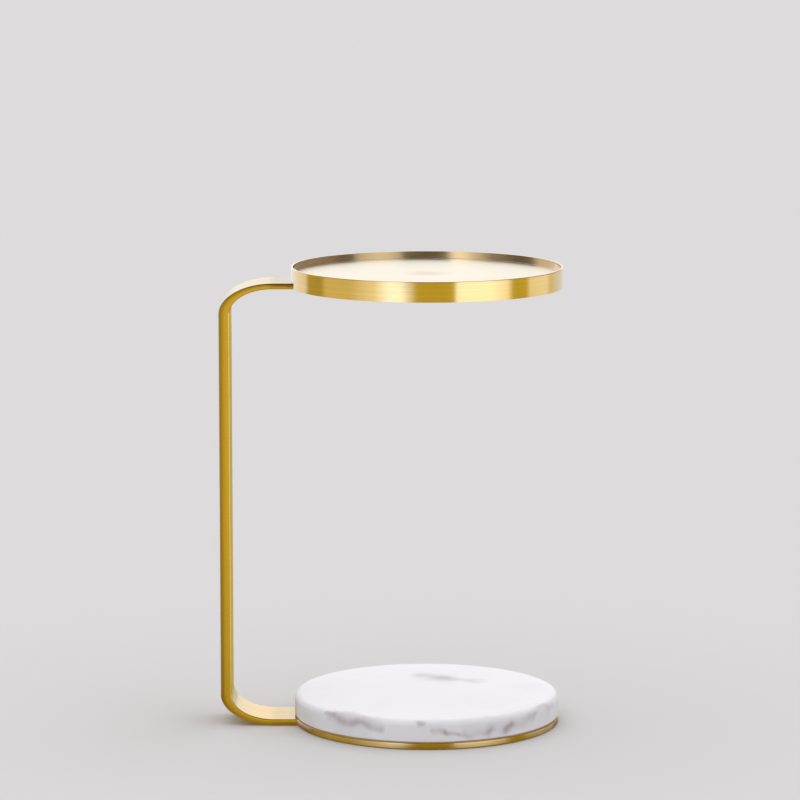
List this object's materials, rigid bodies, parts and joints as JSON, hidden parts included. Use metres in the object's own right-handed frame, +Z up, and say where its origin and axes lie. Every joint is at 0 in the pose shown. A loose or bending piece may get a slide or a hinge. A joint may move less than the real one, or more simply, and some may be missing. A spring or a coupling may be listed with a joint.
{
  "type": "tray-top end table",
  "caption": "C-shaped end table: a bent flat brass bar carries a shallow round tray over a marble disc on a round base plate.",
  "frame": {"origin": "on the ground, on the common axis of the tray and the base", "axes": "+Z up, +X from the upright towards the open side of the C, +Y across the flat bar's width"},
  "size_m": [0.3855, 0.305, 0.52],
  "materials": {
    "brushed_brass": "fine brushed, lacquered",
    "tray_brass": "pale satin, lightly brushed",
    "black_steel": "satin black paint",
    "screw_steel": "zinc plated",
    "gasket_rubber": "matt tan",
    "white_marble": "honed, white with soft grey veins",
    "insert_brass": "turned",
    "dark_felt": "pressed felt"
  },
  "bodies": {
    "root": {"tray_rim": "brushed_brass", "tray_floor": "tray_brass", "tray_ledge_ring": "brushed_brass", "tray_mount_plate": "black_steel", "tray_screws": "screw_steel", "c_frame": "brushed_brass", "base_plate": "brushed_brass", "marble_gasket": "gasket_rubber", "marble_disc": "white_marble", "marble_inserts": "insert_brass", "foot_screws": "screw_steel", "plate_screws": "screw_steel", "base_felt": "dark_felt"}
  },
  "joints": []
}
